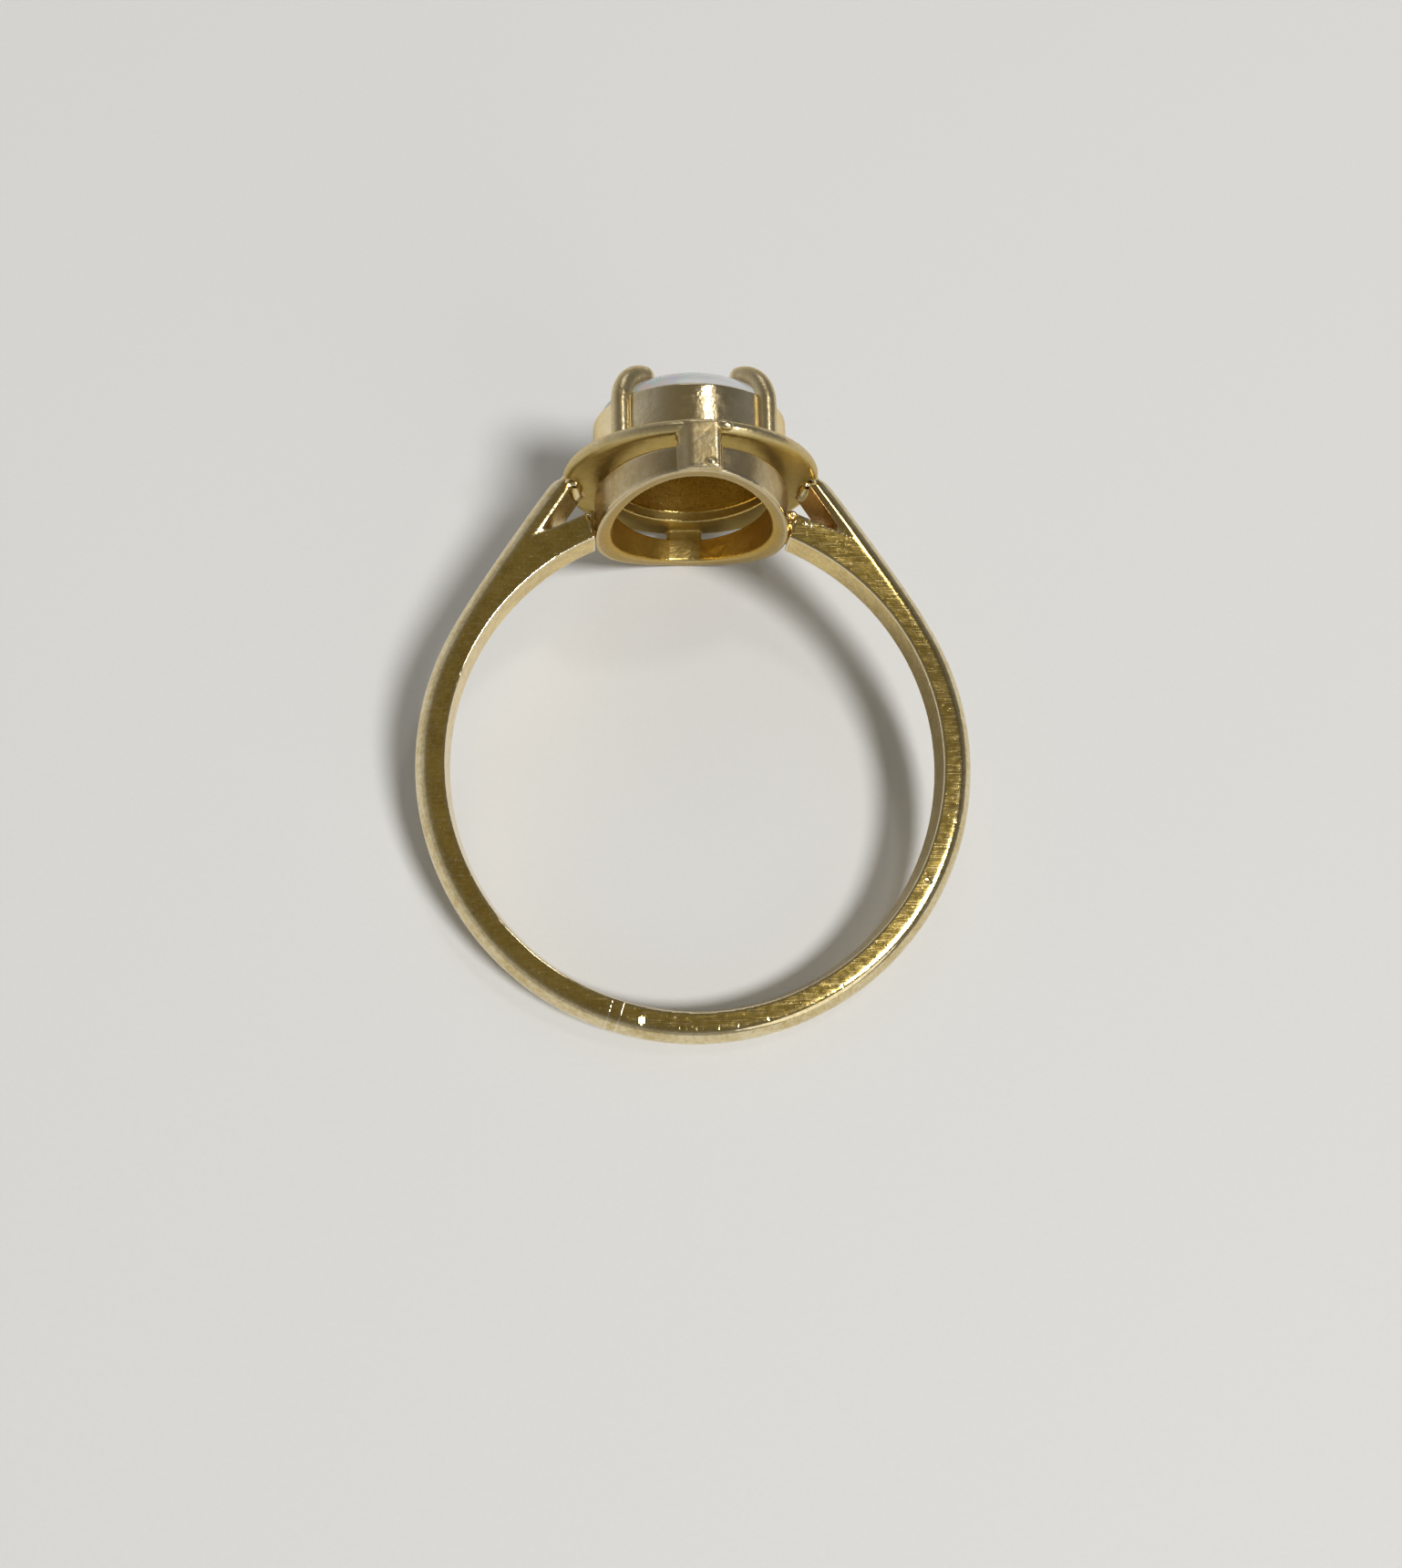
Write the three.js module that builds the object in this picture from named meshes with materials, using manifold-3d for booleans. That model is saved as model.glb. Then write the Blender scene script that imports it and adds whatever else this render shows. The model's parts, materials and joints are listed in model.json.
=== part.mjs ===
// Engagement ring: forked gold shank, two-tier oval gallery and a claw-set opal cabochon.
// Units are millimetres. Inside the ring group the finger axis is Z, the head points to +Y
// and the origin is the centre of the finger hole. The ring lies on its side, on +Z up.
import * as THREE from "three";
import { mergeVertices } from "three/addons/utils/BufferGeometryUtils.js";
import Module from "manifold-3d";

const wasm = await Module();
wasm.setup();

// Shank
const FINGER_RADIUS = 8.66;
const BAND_WIDTH = 1.5;
const SIDE_FACE = 0.61;
const BAND_DOME = 0.5;
const SHOULDER_START = THREE.MathUtils.degToRad(25);
const SHOULDER_SPAN = THREE.MathUtils.degToRad(40);
const SHOULDER_END = THREE.MathUtils.degToRad(67);
const SHOULDER_RISE = 1.62;
const SHOULDER_POWER = 2.6;
const EDGE_BREAK = 0.05;
const BRANCH_TOP = 10.26;
const HOOP_STEPS = 88;
const DOME_STEPS = 8;
const FINGER_STEPS = 84;

// Fork slot in each shoulder
const SLOT_ROOT = new THREE.Vector2(5.14, 8.35);
const SLOT_ROOT_RADIUS = 0.11;
const SLOT_ROOT_STEPS = 8;
const SLOT_UPPER = new THREE.Vector2(3.98, 10.3);
const SLOT_LOWER = new THREE.Vector2(3.2, 9.08);

// Sizing insert, let into the band beside its lowest point
const INSERT_ANGLE = THREE.MathUtils.degToRad(251);
const INSERT_LENGTH = 0.42;

// Gallery rail next to the finger. Its foot is cut from a taller blank.
const RAIL_X = 3.48;
const RAIL_Z = 5.0;
const RAIL_WALL = 0.6;
const RAIL_CREST = 8.72;
const RAIL_CREST_STEPS = 120;
const RAIL_BLANK_BOTTOM = 6;
const RAIL_TOP = 9.65;

// Gallery plate under the collar
const PLATE_X = 4.62;
const PLATE_Z = 5.1;
const PLATE_BOTTOM = 10.0;
const PLATE_TOP = 10.5;
const PLATE_EDGE = 0.2;
const PLATE_EDGE_STEPS = 3;

// Struts between rail and plate
const STRUT_WIDTH = 1.42;
const STRUT_DEPTH = 0.74;
const STRUT_PROUD = 0.1;
const STRUT_BOTTOM = 8.78;
const STRUT_TOP = 10.42;
const STRUT_CENTRE_Z = RAIL_Z + STRUT_PROUD - STRUT_DEPTH / 2;
const STRUT_ROUND = 0.2;
const STRUT_BEVEL = 0.05;

// Collar and stone
const COLLAR_X = 3.5;
const COLLAR_Z = 3.9;
const COLLAR_WALL = 0.5;
const COLLAR_LIP = 0.12;
const COLLAR_SEAT = 11.85;
const COLLAR_TOP = 12.25;
const COLLAR_EDGE = 0.05;
const STONE_HEIGHT = 1.27;
const STONE_GIRDLE = 12.22;
const STONE_FULLNESS = 2.3;
const STONE_BASE = 0.9;
const STONE_BEVEL = 0.12;
const STONE_BEVEL_REACH = 0.985;
const STONE_RINGS = 9;
const STONE_SIDES = 48;

// Claws: upright wires outside the collar wall, bent over the stone along part of an oval
const CLAW_RADIUS = 0.345;
const CLAW_TIP_RADIUS = 0.365;
const CLAW_ANGLE = THREE.MathUtils.degToRad(46);
const CLAW_STAND = 0.09;
const CLAW_FOOT = PLATE_TOP + 0.02;
const CLAW_BEND_BOTTOM = 11.95;
const CLAW_BEND_IN = 1.26;
const CLAW_BEND_UP = 1.34;
const CLAW_BEND_TURN = THREE.MathUtils.degToRad(83);
const CLAW_SIDES = 16;
const CLAW_STEPS = 12;
const CLAW_CAP_STEPS = 4;

// Solder beads, laid along Z in the corners of the joints
const BEAD_RADIUS = 0.17;
const BEAD_LENGTH = 1.16;
const LOWER_BEAD = new THREE.Vector2(3.58, 8.94);
const UPPER_BEAD = new THREE.Vector2(4.13, 9.9);

const GAP = 0.02;
const OVERCUT = 1;
const ROUND = 36;

const satinGold = { color: 0xb59a5c, roughness: 0.38, metalness: 1.0 };
const brightGold = { color: 0xc4ab6c, roughness: 0.25, metalness: 1.0 };
const solderGold = { color: 0xd9caa0, roughness: 0.3, metalness: 1.0 };
const opal = { color: 0xdedad6, roughness: 0.15, metalness: 0.0 };

function toSolid(geometry) {
  const bare = geometry.index ? geometry.toNonIndexed() : geometry.clone();
  bare.deleteAttribute("normal");
  bare.deleteAttribute("uv");
  const merged = mergeVertices(bare, 1e-5);
  return fromArrays(merged.attributes.position.array, merged.index.array);
}

function fromArrays(positions, index) {
  return new wasm.Manifold(
    new wasm.Mesh({
      numProp: 3,
      vertProperties: new Float32Array(positions),
      triVerts: new Uint32Array(index),
    }),
  );
}

function toGeometry(solid) {
  const mesh = solid.getMesh();
  const geometry = new THREE.BufferGeometry();
  geometry.setAttribute("position", new THREE.BufferAttribute(mesh.vertProperties, 3));
  geometry.setIndex(new THREE.BufferAttribute(mesh.triVerts, 1));
  geometry.computeVertexNormals();
  return geometry;
}

function cutAll(solid, cutters) {
  return cutters.reduce((rest, cutter) => rest.subtract(cutter), solid);
}

function ellipse(a, b) {
  const shape = new THREE.Shape();
  shape.absellipse(0, 0, a, b, 0, 2 * Math.PI);
  return shape;
}

// A straight prism over an oval in the XZ plane, from one height to another.
function ovalPrism(a, b, bottom, top) {
  const geometry = new THREE.ExtrudeGeometry(ellipse(a, b), {
    depth: top - bottom,
    bevelEnabled: false,
    curveSegments: ROUND,
  });
  geometry.rotateX(-Math.PI / 2);
  geometry.translate(0, bottom, 0);
  return toSolid(geometry);
}

// An oval disc with rounded top and bottom edges.
function ovalDisc(a, b, bottom, top, edge, edgeSteps) {
  const geometry = new THREE.ExtrudeGeometry(ellipse(a - edge, b - edge), {
    depth: top - bottom - 2 * edge,
    bevelThickness: edge,
    bevelSize: edge,
    bevelSegments: edgeSteps,
    curveSegments: ROUND,
  });
  geometry.rotateX(-Math.PI / 2);
  geometry.translate(0, bottom + edge, 0);
  return toSolid(geometry);
}

function block(x, y, z, centre) {
  const geometry = new THREE.BoxGeometry(x, y, z);
  geometry.translate(centre.x, centre.y, centre.z);
  return toSolid(geometry);
}

function rodAlongZ(radius, length, x, y, segments) {
  const geometry = new THREE.CylinderGeometry(radius, radius, length, segments);
  geometry.rotateX(Math.PI / 2);
  geometry.translate(x, y, 0);
  return toSolid(geometry);
}

// Radius of the flat side face's outer edge at an elevation above the X axis.
function sideRadius(elevation) {
  const along = Math.max(0, (elevation - SHOULDER_START) / SHOULDER_SPAN);
  return FINGER_RADIUS + SIDE_FACE + SHOULDER_RISE * along ** SHOULDER_POWER;
}

// The side face's outer edge, from the left fork round the bottom to the right fork.
function shankOutline() {
  const from = Math.PI - SHOULDER_END;
  const to = 2 * Math.PI + SHOULDER_END;
  const points = [];
  for (let i = 0; i <= HOOP_STEPS; i += 1) {
    const angle = from + ((to - from) * i) / HOOP_STEPS;
    const elevation = Math.asin(Math.sin(angle));
    const radius = sideRadius(elevation);
    points.push(new THREE.Vector2(radius * Math.cos(angle), radius * Math.sin(angle)));
  }
  return points;
}

// How far the dome stands outside the side face's edge, at each step across the band.
function domeProfile() {
  const half = BAND_WIDTH / 2;
  const crown = (half ** 2 + BAND_DOME ** 2) / (2 * BAND_DOME);
  const profile = [];
  for (let i = 0; i <= DOME_STEPS; i += 1) {
    const z = half - (BAND_WIDTH * i) / DOME_STEPS;
    const out = Math.sqrt(crown ** 2 - z ** 2) - (crown - BAND_DOME);
    profile.push(new THREE.Vector2(out, z));
  }
  return profile;
}

function outwardAt(points, i) {
  const before = points[Math.max(0, i - 1)];
  const after = points[Math.min(points.length - 1, i + 1)];
  const along = new THREE.Vector2().subVectors(after, before).normalize();
  return new THREE.Vector2(along.y, -along.x);
}

// The blank has the domed outside of the band; its finger hole and fork are cut later.
function shankBlank() {
  const outline = shankOutline();
  const profile = domeProfile();
  const positions = [];
  outline.forEach((point, i) => {
    const outward = outwardAt(outline, i);
    for (const { x: out, y: z } of profile) {
      positions.push(point.x + outward.x * out, point.y + outward.y * out, z);
    }
  });
  const front = positions.length / 3;
  const back = front + 1;
  positions.push(0, 0, BAND_WIDTH / 2, 0, 0, -BAND_WIDTH / 2);
  const rows = profile.length;
  const index = [];
  for (let i = 0; i < outline.length; i += 1) {
    const here = i * rows;
    const next = ((i + 1) % outline.length) * rows;
    index.push(front, here, next, back, next + DOME_STEPS, here + DOME_STEPS);
    for (let j = 0; j < DOME_STEPS; j += 1) {
      index.push(here + j, here + j + 1, next + j);
      index.push(next + j, here + j + 1, next + j + 1);
    }
  }
  return fromArrays(positions, index);
}

// A hole along Z whose two mouths flare a little, which breaks the band's inner edges.
function fingerHole() {
  const face = BAND_WIDTH / 2;
  const far = RAIL_Z + OVERCUT;
  const mouth = FINGER_RADIUS + EDGE_BREAK;
  const profile = [
    new THREE.Vector2(0, -far),
    new THREE.Vector2(mouth, -far),
    new THREE.Vector2(mouth, -face),
    new THREE.Vector2(FINGER_RADIUS, -face + EDGE_BREAK),
    new THREE.Vector2(FINGER_RADIUS, face - EDGE_BREAK),
    new THREE.Vector2(mouth, face),
    new THREE.Vector2(mouth, far),
    new THREE.Vector2(0, far),
  ];
  const geometry = new THREE.LatheGeometry(profile, FINGER_STEPS);
  geometry.rotateX(Math.PI / 2);
  return toSolid(geometry);
}

function forkSlot(side) {
  const shape = new THREE.Shape();
  const across = new THREE.Vector2().subVectors(SLOT_UPPER, SLOT_LOWER);
  const turn = across.angle();
  shape.moveTo(SLOT_UPPER.x, SLOT_UPPER.y);
  shape.lineTo(SLOT_LOWER.x, SLOT_UPPER.y);
  shape.lineTo(SLOT_LOWER.x, SLOT_LOWER.y);
  for (let i = 0; i <= SLOT_ROOT_STEPS; i += 1) {
    const angle = turn + Math.PI + (Math.PI * i) / SLOT_ROOT_STEPS;
    const x = SLOT_ROOT.x + SLOT_ROOT_RADIUS * Math.cos(angle);
    const y = SLOT_ROOT.y + SLOT_ROOT_RADIUS * Math.sin(angle);
    shape.lineTo(x, y);
  }
  const geometry = new THREE.ExtrudeGeometry(shape, {
    depth: 2 * BAND_WIDTH,
    bevelEnabled: false,
  });
  geometry.translate(0, 0, -BAND_WIDTH);
  if (side < 0) geometry.rotateY(Math.PI);
  return toSolid(geometry);
}

// A slab across the band at the sizing insert, of a given length along the band.
function bandSlab(length) {
  const geometry = new THREE.BoxGeometry(2 * BAND_WIDTH, length, 2 * BAND_WIDTH);
  geometry.translate(FINGER_RADIUS + SIDE_FACE, 0, 0);
  geometry.rotateZ(INSERT_ANGLE);
  return toSolid(geometry);
}

// Everything on one side of the plane through the finger axis and the sizing insert.
function halfSpace(side) {
  const reach = 4 * FINGER_RADIUS;
  const geometry = new THREE.BoxGeometry(reach, reach, reach);
  geometry.translate(0, (side * reach) / 2, 0);
  geometry.rotateZ(INSERT_ANGLE);
  return toSolid(geometry);
}

function plateEnvelope() {
  const clear = 2 * GAP;
  const bottom = PLATE_BOTTOM - GAP;
  const top = PLATE_TOP + clear;
  return ovalDisc(PLATE_X + GAP, PLATE_Z + GAP, bottom, top, PLATE_EDGE, PLATE_EDGE_STEPS);
}

function strutEnvelope(side) {
  const height = STRUT_TOP - STRUT_BOTTOM + 2 * GAP;
  const centre = new THREE.Vector3(0, (STRUT_TOP + STRUT_BOTTOM) / 2, side * STRUT_CENTRE_Z);
  return block(STRUT_WIDTH + 2 * GAP, height, STRUT_DEPTH + 2 * GAP, centre);
}

function wholeShank() {
  const head = ovalPrism(RAIL_X + GAP, RAIL_Z + GAP, RAIL_BLANK_BOTTOM, PLATE_TOP);
  const size = 3 * PLATE_X;
  const above = block(size, size, size, new THREE.Vector3(0, BRANCH_TOP + size / 2, 0));
  const cutters = [fingerHole(), head, above, forkSlot(1), forkSlot(-1), plateEnvelope()];
  return cutAll(shankBlank(), cutters);
}

// Centre and direction of the claw's wire: straight up, then round its bend.
function clawStation(step) {
  const turn = (CLAW_BEND_TURN * Math.max(0, step - 1)) / (CLAW_STEPS - 1);
  const out = CLAW_STAND - CLAW_BEND_IN * (1 - Math.cos(turn));
  const height = step === 0 ? CLAW_FOOT : CLAW_BEND_BOTTOM + CLAW_BEND_UP * Math.sin(turn);
  const forward = new THREE.Vector2(-CLAW_BEND_IN * Math.sin(turn), CLAW_BEND_UP * Math.cos(turn));
  const swell = Math.min(1, (2 * turn) / CLAW_BEND_TURN);
  return {
    centre: new THREE.Vector2(out, height),
    forward: forward.normalize(),
    radius: THREE.MathUtils.lerp(CLAW_RADIUS, CLAW_TIP_RADIUS, swell),
  };
}

function clawRing(centre, forward, radius) {
  const ring = [];
  for (let k = 0; k < CLAW_SIDES; k += 1) {
    const turn = (2 * Math.PI * k) / CLAW_SIDES;
    const out = radius * Math.cos(turn);
    ring.push(centre.x + forward.y * out, centre.y - forward.x * out, radius * Math.sin(turn));
  }
  return ring;
}

// A round wire that ends in a rounded tip, grown all round by an extra amount.
function clawSolid(extra) {
  const positions = [];
  for (let i = 0; i <= CLAW_STEPS; i += 1) {
    const { centre, forward, radius } = clawStation(i);
    positions.push(...clawRing(centre, forward, radius + extra));
  }
  const end = clawStation(CLAW_STEPS);
  const tip = end.radius + extra;
  for (let i = 1; i < CLAW_CAP_STEPS; i += 1) {
    const turn = (Math.PI / 2) * (i / CLAW_CAP_STEPS);
    const centre = end.centre.clone().addScaledVector(end.forward, tip * Math.sin(turn));
    positions.push(...clawRing(centre, end.forward, tip * Math.cos(turn)));
  }
  const pole = end.centre.clone().addScaledVector(end.forward, tip);
  const last = positions.length / 3 - CLAW_SIDES;
  positions.push(CLAW_STAND, CLAW_FOOT, 0, pole.x, pole.y, 0);
  const footIndex = last + CLAW_SIDES;
  const poleIndex = footIndex + 1;
  const index = [];
  for (let k = 0; k < CLAW_SIDES; k += 1) {
    const turned = (k + 1) % CLAW_SIDES;
    index.push(footIndex, k, turned, poleIndex, last + turned, last + k);
    for (let ring = 0; ring < last; ring += CLAW_SIDES) {
      index.push(ring + k, ring + CLAW_SIDES + k, ring + turned);
      index.push(ring + turned, ring + CLAW_SIDES + k, ring + CLAW_SIDES + turned);
    }
  }
  return fromArrays(positions, index);
}

// Places a claw on the collar's outside, square to its oval wall.
function placeClaw(solid, sideX, sideZ) {
  const x = COLLAR_X * Math.cos(CLAW_ANGLE);
  const z = COLLAR_Z * Math.sin(CLAW_ANGLE);
  const outward = Math.atan2(Math.sin(CLAW_ANGLE) / COLLAR_Z, Math.cos(CLAW_ANGLE) / COLLAR_X);
  const heading = Math.atan2(sideZ * Math.sin(outward), sideX * Math.cos(outward));
  const matrix = new THREE.Matrix4().makeRotationY(-heading);
  matrix.setPosition(sideX * x, 0, sideZ * z);
  const geometry = toGeometry(solid);
  geometry.applyMatrix4(matrix);
  return geometry;
}

function domeHeight(reach) {
  return STONE_HEIGHT * Math.sqrt(Math.max(0, 1 - reach ** STONE_FULLNESS));
}

// A cabochon: domed top over the girdle, bevelled below it, flat base on the seat.
function stoneSolid() {
  const a = COLLAR_X - COLLAR_LIP - GAP;
  const b = COLLAR_Z - COLLAR_LIP - GAP;
  const base = COLLAR_SEAT + GAP;
  const profile = [new THREE.Vector2(0, base), new THREE.Vector2(STONE_BASE, base)];
  profile.push(new THREE.Vector2(STONE_BEVEL_REACH, base + STONE_BEVEL));
  for (let i = 0; i < STONE_RINGS; i += 1) {
    const reach = Math.cos((Math.PI / 2) * (i / STONE_RINGS));
    profile.push(new THREE.Vector2(reach, STONE_GIRDLE + domeHeight(reach)));
  }
  profile.push(new THREE.Vector2(0, STONE_GIRDLE + STONE_HEIGHT));
  const geometry = new THREE.LatheGeometry(profile, STONE_SIDES);
  geometry.scale(a, 1, b);
  return toSolid(geometry);
}

// The open middle of the collar and plate, under the stone.
function collarBore() {
  const a = COLLAR_X - COLLAR_WALL;
  const b = COLLAR_Z - COLLAR_WALL;
  return ovalPrism(a, b, PLATE_BOTTOM - OVERCUT, COLLAR_TOP + OVERCUT);
}

function collarSolid(claws) {
  const outer = ovalDisc(COLLAR_X, COLLAR_Z, PLATE_TOP + GAP, COLLAR_TOP, COLLAR_EDGE, 1);
  const lip = COLLAR_LIP;
  const seat = ovalPrism(COLLAR_X - lip, COLLAR_Z - lip, COLLAR_SEAT, COLLAR_TOP + OVERCUT);
  return cutAll(outer, [seat, collarBore(), ...claws]);
}

function railSolid() {
  const outer = ovalPrism(RAIL_X, RAIL_Z, RAIL_BLANK_BOTTOM, RAIL_TOP);
  const a = RAIL_X - RAIL_WALL;
  const b = RAIL_Z - RAIL_WALL;
  const inner = ovalPrism(a, b, RAIL_BLANK_BOTTOM - OVERCUT, RAIL_TOP + OVERCUT);
  const length = 2 * (RAIL_Z + OVERCUT);
  const finger = rodAlongZ(RAIL_CREST, length, 0, 0, RAIL_CREST_STEPS);
  return cutAll(outer, [inner, finger, strutEnvelope(1), strutEnvelope(-1)]);
}

function plateSolid() {
  const edge = PLATE_EDGE;
  const outer = ovalDisc(PLATE_X, PLATE_Z, PLATE_BOTTOM, PLATE_TOP, edge, PLATE_EDGE_STEPS);
  return cutAll(outer, [collarBore(), strutEnvelope(1), strutEnvelope(-1)]);
}

// A strut's two outer edges are rounded; its inner edges sit in the rail's and plate's notches.
function strutSolid(side) {
  const x = STRUT_WIDTH / 2 - STRUT_BEVEL;
  const z = STRUT_DEPTH / 2 - STRUT_BEVEL;
  const round = STRUT_ROUND;
  const shape = new THREE.Shape();
  shape.moveTo(-x, z);
  shape.lineTo(-x, round - z);
  shape.absarc(round - x, round - z, round, Math.PI, 1.5 * Math.PI);
  shape.absarc(x - round, round - z, round, 1.5 * Math.PI, 2 * Math.PI);
  shape.lineTo(x, z);
  const geometry = new THREE.ExtrudeGeometry(shape, {
    depth: STRUT_TOP - STRUT_BOTTOM - 2 * STRUT_BEVEL,
    bevelThickness: STRUT_BEVEL,
    bevelSize: STRUT_BEVEL,
    bevelSegments: 2,
    curveSegments: 6,
  });
  geometry.rotateX(-Math.PI / 2);
  if (side < 0) geometry.rotateY(Math.PI);
  geometry.translate(0, STRUT_BOTTOM + STRUT_BEVEL, side * STRUT_CENTRE_Z);
  return toSolid(geometry);
}

function beadRod(x, y) {
  return rodAlongZ(BEAD_RADIUS, BEAD_LENGTH, x, y, 16);
}

function lowerBead(side, shank) {
  const clear = 2 * GAP;
  const top = RAIL_TOP + GAP;
  const rail = ovalPrism(RAIL_X + clear, RAIL_Z + clear, RAIL_BLANK_BOTTOM, top);
  const bead = beadRod(side * LOWER_BEAD.x, LOWER_BEAD.y);
  return cutAll(bead, [rail, shank]);
}

function upperBead(side, shank) {
  const bead = beadRod(side * UPPER_BEAD.x, UPPER_BEAD.y);
  return cutAll(bead, [plateEnvelope(), shank]);
}

// The shank grown by the gap, so that a bead laid against it keeps clear.
function shankForBeads(shank) {
  return [
    [GAP, 0],
    [-GAP, 0],
    [0, GAP],
    [0, -GAP],
  ].reduce((grown, [x, y]) => grown.add(shank.translate([x, y, 0])), shank);
}

function named(name, geometry, look) {
  const mesh = new THREE.Mesh(geometry, new THREE.MeshStandardMaterial(look));
  mesh.name = name;
  return mesh;
}

function addShank(ring, shank) {
  const parting = bandSlab(INSERT_LENGTH + 2 * GAP);
  const arms = shank.subtract(parting);
  const insert = shank.intersect(bandSlab(INSERT_LENGTH));
  ring.add(named("shank_right", toGeometry(arms.intersect(halfSpace(1))), satinGold));
  ring.add(named("shank_left", toGeometry(arms.intersect(halfSpace(-1))), satinGold));
  ring.add(named("sizing_insert", toGeometry(insert), satinGold));
}

function addGallery(ring) {
  ring.add(named("lower_rail", toGeometry(railSolid()), brightGold));
  ring.add(named("upper_plate", toGeometry(plateSolid()), brightGold));
  ring.add(named("strut_front", toGeometry(strutSolid(1)), brightGold));
  ring.add(named("strut_back", toGeometry(strutSolid(-1)), brightGold));
}

function addSetting(ring) {
  const claw = clawSolid(0);
  const groove = clawSolid(GAP);
  const grooves = [];
  for (const [across, x] of [["left", -1], ["right", 1]]) {
    for (const [along, z] of [["front", 1], ["back", -1]]) {
      const geometry = placeClaw(claw, x, z);
      grooves.push(toSolid(placeClaw(groove, x, z)));
      ring.add(named(`claw_${along}_${across}`, geometry, brightGold));
    }
  }
  ring.add(named("collar", toGeometry(collarSolid(grooves)), brightGold));
  ring.add(named("opal", toGeometry(cutAll(stoneSolid(), grooves)), opal));
}

function addBeads(ring, shank) {
  const grown = shankForBeads(shank);
  for (const [across, x] of [["left", -1], ["right", 1]]) {
    ring.add(named(`solder_lower_${across}`, toGeometry(lowerBead(x, grown)), solderGold));
    ring.add(named(`solder_upper_${across}`, toGeometry(upperBead(x, grown)), solderGold));
  }
}

// The ring rests on the outer edge of its band and on the back strut's lower corner.
function layDown(ring) {
  const drop = RAIL_Z + STRUT_PROUD - BAND_WIDTH / 2;
  const reach = STRUT_BOTTOM + FINGER_RADIUS + SIDE_FACE;
  ring.rotation.x = Math.atan2(drop, reach);
  const box = new THREE.Box3().setFromObject(ring, true);
  const centre = box.getCenter(new THREE.Vector3());
  ring.position.set(-centre.x, -centre.y, -box.min.z);
}

const ring = new THREE.Group();
const shank = wholeShank();
addShank(ring, shank);
addGallery(ring);
addSetting(ring);
addBeads(ring, shank);
layDown(ring);

const part = new THREE.Group();
part.add(ring);

export default part;
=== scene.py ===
import json
import math

import bpy
import numpy as np
from mathutils import Matrix, Quaternion, Vector


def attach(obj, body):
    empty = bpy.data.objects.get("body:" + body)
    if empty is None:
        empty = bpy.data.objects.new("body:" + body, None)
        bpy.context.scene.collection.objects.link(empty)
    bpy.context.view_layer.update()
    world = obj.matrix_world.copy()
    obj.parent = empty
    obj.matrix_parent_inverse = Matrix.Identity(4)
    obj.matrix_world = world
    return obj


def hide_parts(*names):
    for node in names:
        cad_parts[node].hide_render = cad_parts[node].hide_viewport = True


# An engagement ring lying on its side: its surfaces, materials, floor, lights and camera.
# The gold and stone are modelled as distance functions in the ring's own axes, in millimetres:
# the finger axis is Z, the head points to +Y and the origin is the centre of the finger hole.
# Each function is turned into a mesh and placed in the frame's axes, in metres.
# A name that ends in EDGE is the width over which a corner is rounded.

MM = 0.001

# More than any distance that matters here
FAR = 9.0

# How far inside a neighbour a fillet's copy of its surface stays
HIDDEN = 0.012

# Where the mounts stand on the band's side faces
MOUNT_ANGLE = math.radians(-40)
MOUNT_INSET = 0.33

# Hoop
FINGER_RADIUS = 8.66
FINGER_EDGE = 0.055
BAND_HALF_WIDTH = 0.75
BAND_DOME = 0.5
SIDE_FACE = 0.61
SIDE_EDGE = 0.06

# Shoulders: how the outside rises, and the fork's branches with the slot between them
SHOULDER_START = math.radians(25)
SHOULDER_SPAN = math.radians(40)
SHOULDER_LIMIT = 1.2
SHOULDER_RISE = 1.62
SHOULDER_POWER = 2.6
BRANCH_TOP = 10.24
BRANCH_TOP_EDGE = 0.25
BRANCH_END_LINE = ((3.5, 8.1), (3.76, 8.86))
BRANCH_END_TOP = 9.3
BRANCH_FILLET = 0.16
SLOT_UPPER_LINE = ((5.199, 8.443), (3.98, 10.3))
SLOT_LOWER_LINE = ((5.081, 8.257), (3.2, 9.08))
SLOT_ROOT = 0.3
SLOT_EDGE = 0.07
SLOT_TAPER = 0.16
CHAMFER_SLOPE = 0.36
CHAMFER_DEPTH = 0.055
CHAMFER_EDGE = 0.03

# Sizing insert: the hoop's two arms run a little way into it
INSERT_ANGLE = math.radians(251)
INSERT_LENGTH = 0.42
INSERT_PROUD = 0.002
INSERT_EDGE = 0.014
TUCK = 0.05

# Gallery rail, plate and struts
RAIL = (3.48, 5.0)
RAIL_WALL = 0.6
RAIL_CREST = 8.72
RAIL_TOP = 9.6
RAIL_EDGE = 0.05
RAIL_TOP_EDGE = 0.1
RAIL_FOOT_EDGE = 0.14
RAIL_OVERLAP = 0.05
PLATE = (4.62, 5.1)
PLATE_BOTTOM = 10.0
PLATE_TOP = 10.5
PLATE_EDGE = 0.34
PLATE_HOLE_EDGE = 0.08
PLATE_JOINT = (3.7, 1.1)
STRUT_WIDTH = 1.42
STRUT_DEPTH = 0.74
STRUT_BOTTOM = 8.78
STRUT_TOP = 10.42
STRUT_PROUD = 0.1
STRUT_EDGE = 0.2
STRUT_END_EDGE = 0.12
STRUT_FILLET = 0.12
STRUT_REACH = (1.2, 4.1)
FLANK_SLOPE = 0.62
FLANK_DEPTH = 0.24
FLANK_EDGE = 0.08

# Collar and stone
COLLAR = (3.5, 3.9)
COLLAR_WALL = 0.5
COLLAR_SUNK = 0.1
COLLAR_LIP = 0.12
COLLAR_SEAT = 11.85
COLLAR_TOP = 12.25
COLLAR_EDGE = 0.09
COLLAR_BORE_EDGE = 0.05
COLLAR_LIP_EDGE = 0.03
COLLAR_FILLET = 0.13
COLLAR_FILLET_REACH = 0.2
STONE_CLEARANCE = 0.01
STONE_GIRDLE = 12.22
STONE_HEIGHT = 1.27
STONE_FULLNESS = 2.3
STONE_EDGE = 0.12

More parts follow.
